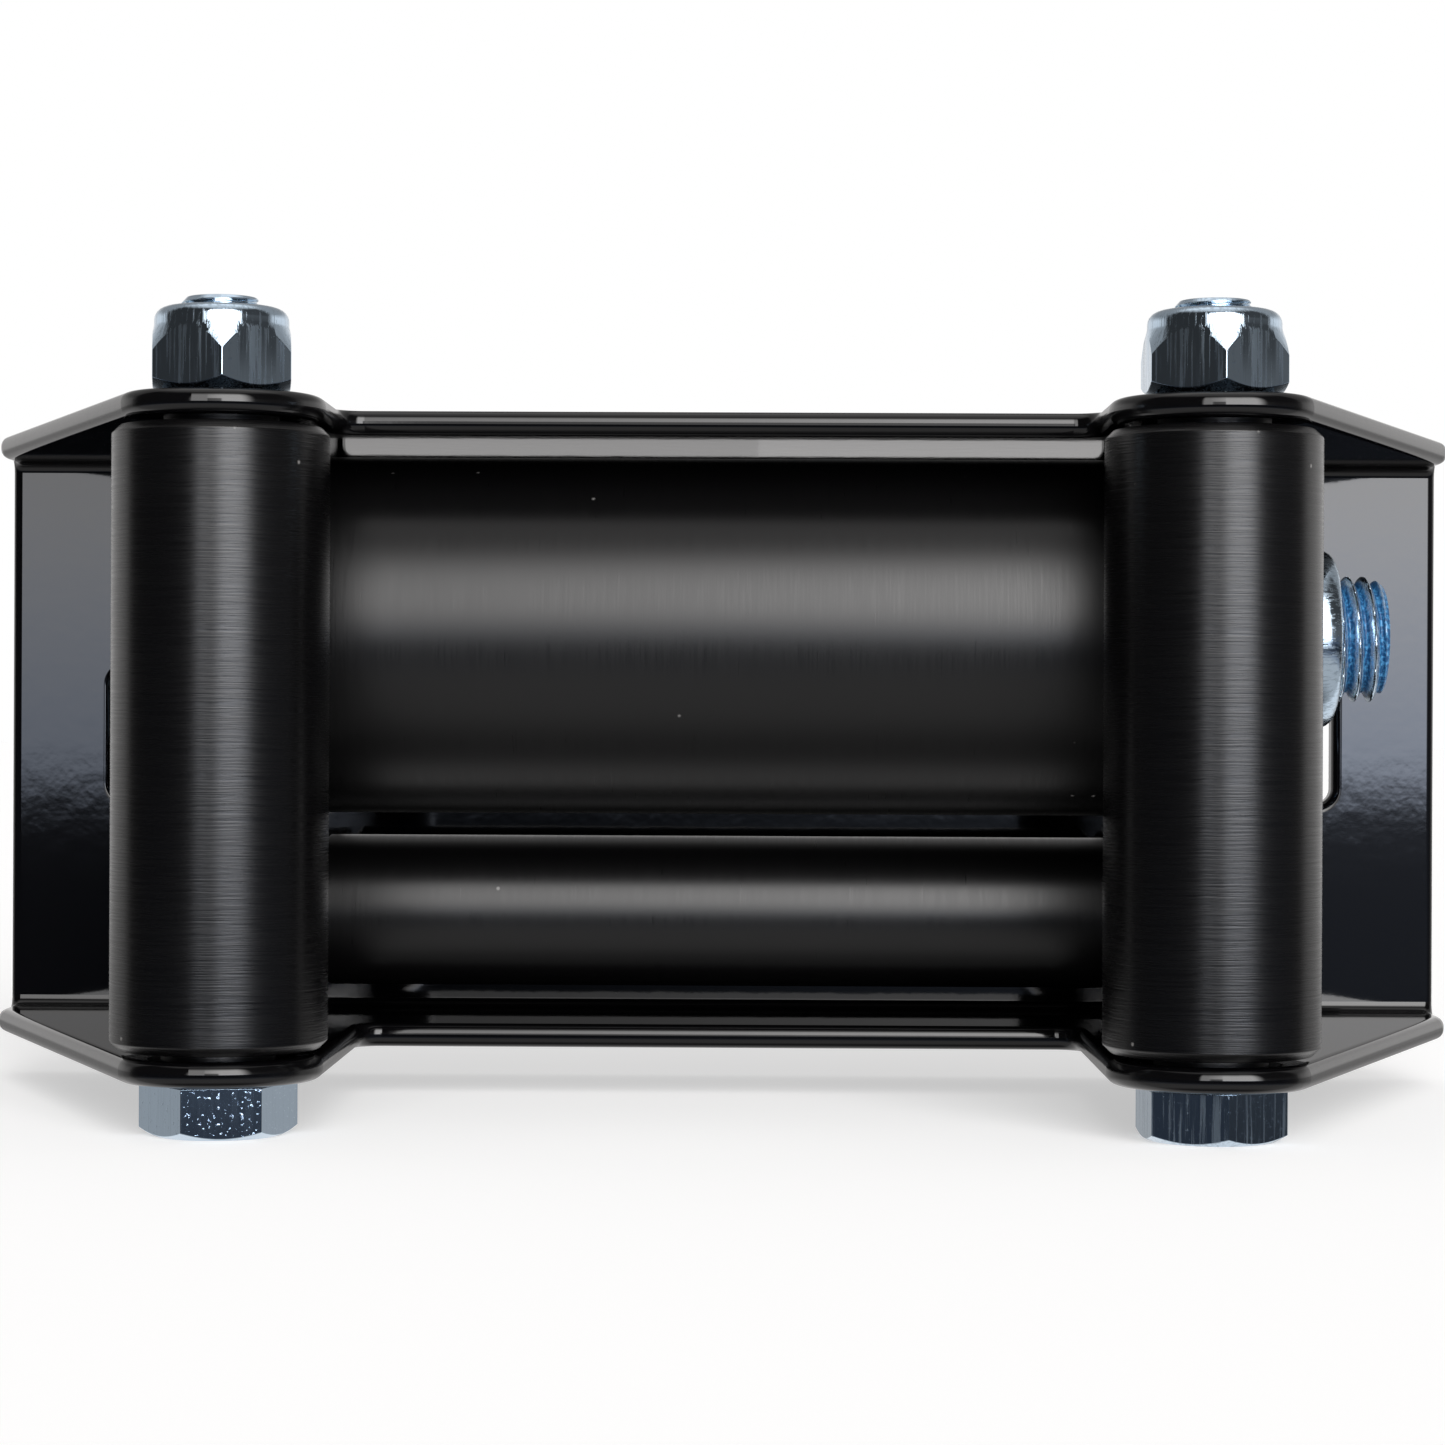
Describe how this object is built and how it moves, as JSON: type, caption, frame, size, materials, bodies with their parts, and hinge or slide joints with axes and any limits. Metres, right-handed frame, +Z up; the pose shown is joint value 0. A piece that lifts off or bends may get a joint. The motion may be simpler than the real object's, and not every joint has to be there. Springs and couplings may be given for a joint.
{
  "type": "roller fairlead",
  "caption": "Folded steel channel that guides a winch rope between two upright rollers in front and a large and a small level roller behind them, each turning freely on its own bolt.",
  "frame": {"origin": "centre of the back plate's rear face, midway between the mounting slots", "axes": "+X along the channel to the right as seen from the front, +Z up, rollers face -Y, +Y points into the surface that it is bolted to"},
  "size_m": [0.1944, 0.0832, 0.0979],
  "materials": {
    "powder_coat": "gloss black powder coat",
    "roller_black": "satin, finely turned",
    "bush": "black acetal",
    "sleeve_steel": "drawn tube",
    "zinc": "bright zinc plate",
    "nylon": "natural nylon"
  },
  "bodies": {
    "frame": {"frame": "powder_coat", "left_cheek": "powder_coat", "right_cheek": "powder_coat", "left_upright_sleeve": "sleeve_steel", "left_upright_bolt": "zinc", "left_upright_nut": "zinc", "left_upright_nut_ring": "nylon", "right_upright_sleeve": "sleeve_steel", "right_upright_bolt": "zinc", "right_upright_nut": "zinc", "right_upright_nut_ring": "nylon", "large_sleeve": "sleeve_steel", "large_bolt": "zinc", "large_nut": "zinc", "large_nut_ring": "nylon", "large_left_washer": "zinc", "large_right_washer": "zinc", "small_sleeve": "sleeve_steel", "small_bolt": "zinc", "small_nut": "zinc", "small_nut_ring": "nylon", "small_left_washer": "zinc", "small_right_washer": "zinc"},
    "left_upright": {"left_upright_roller": "roller_black", "left_upright_lower_bush": "bush", "left_upright_upper_bush": "bush"},
    "right_upright": {"right_upright_roller": "roller_black", "right_upright_lower_bush": "bush", "right_upright_upper_bush": "bush"},
    "large_level": {"large_level_roller": "roller_black", "large_left_bush": "bush", "large_right_bush": "bush"},
    "small_level": {"small_level_roller": "roller_black", "small_left_bush": "bush", "small_right_bush": "bush"}
  },
  "joints": [
    {"name": "left_upright_spin", "type": "hinge", "parent": "frame", "child": "left_upright", "pos_m": [-0.0581, -0.0705, 0], "axis": [0, 0, 1], "continuous": true},
    {"name": "right_upright_spin", "type": "hinge", "parent": "frame", "child": "right_upright", "pos_m": [0.0581, -0.0705, 0], "axis": [0, 0, 1], "continuous": true},
    {"name": "large_level_spin", "type": "hinge", "parent": "frame", "child": "large_level", "pos_m": [0, -0.0325, 0.013], "axis": [1, 0, 0], "continuous": true},
    {"name": "small_level_spin", "type": "hinge", "parent": "frame", "child": "small_level", "pos_m": [0, -0.022, -0.0227], "axis": [1, 0, 0], "continuous": true}
  ]
}
